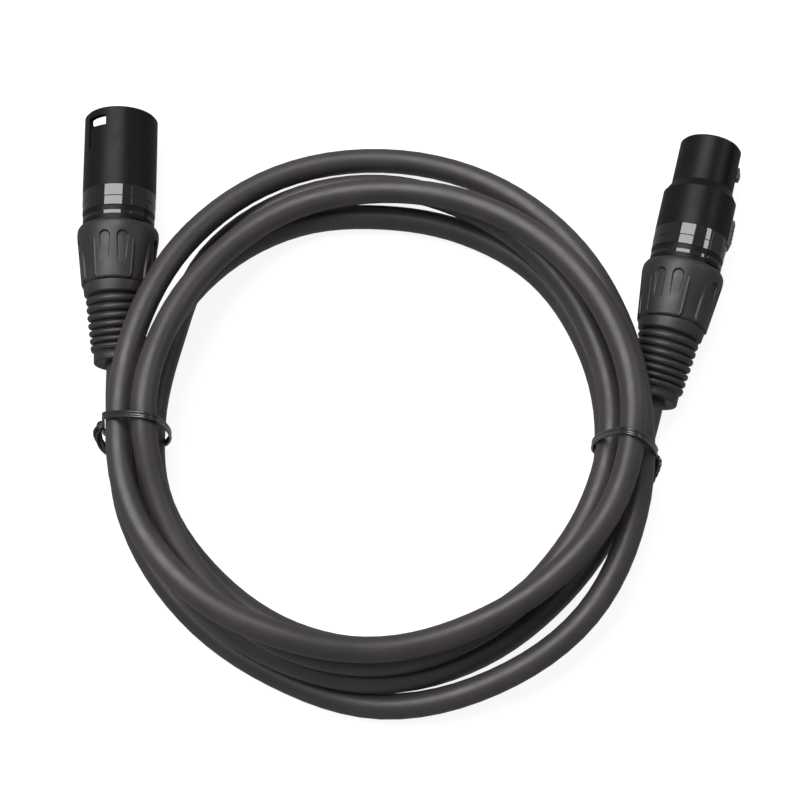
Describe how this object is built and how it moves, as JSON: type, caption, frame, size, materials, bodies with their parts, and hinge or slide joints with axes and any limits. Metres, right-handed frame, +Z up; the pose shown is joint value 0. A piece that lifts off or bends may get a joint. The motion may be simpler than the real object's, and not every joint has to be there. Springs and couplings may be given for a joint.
{
  "type": "xlr cable coil",
  "caption": "Balanced microphone cable wound into a ring, with a male and a female three-pole connector in ribbed boots, held by twist ties",
  "frame": {"origin": "centre of the footprint, on the surface that the cable lies on", "axes": "+Z up, +Y towards the mating ends of both connectors, +X from the male connector to the female one"},
  "size_m": [0.1731, 0.1552, 0.0287],
  "materials": {
    "cable_jacket": "matt",
    "boot_polymer": "matt",
    "black_shell": "gloss",
    "insert_plastic": "satin",
    "contact_metal": "satin",
    "latch_steel": "satin",
    "core_white": "satin",
    "core_red": "satin",
    "copper_drain": "satin",
    "tie_plastic": "gloss"
  },
  "bodies": {
    "cable_body": {"male_shell": "black_shell", "male_insert": "insert_plastic", "male_pin_1": "contact_metal", "male_pin_2": "contact_metal", "male_pin_3": "contact_metal", "male_chuck": "insert_plastic", "male_bushing": "boot_polymer", "male_bend_relief": "boot_polymer", "male_core_hot": "core_white", "male_core_cold": "core_red", "male_shield_drain": "copper_drain", "female_shell": "black_shell", "female_insert": "insert_plastic", "female_socket_1": "contact_metal", "female_socket_2": "contact_metal", "female_socket_3": "contact_metal", "female_latch_pin": "latch_steel", "female_latch_spring": "contact_metal", "female_chuck": "insert_plastic", "female_bushing": "boot_polymer", "female_bend_relief": "boot_polymer", "female_core_hot": "core_white", "female_core_cold": "core_red", "female_shield_drain": "copper_drain", "cable_coil": "cable_jacket", "cable_lead_male": "cable_jacket", "cable_lead_female": "cable_jacket", "tie_left": "tie_plastic", "tie_right": "tie_plastic"},
    "latch": {"female_latch": "latch_steel"}
  },
  "joints": [
    {"name": "latch_press", "type": "hinge", "parent": "cable_body", "child": "latch", "pos_m": [0.07686, 0.03877, 0.0105], "axis": [0, 0, 1], "range_deg": [0, 3], "stiffness_Nm_per_rad": 0.5}
  ]
}
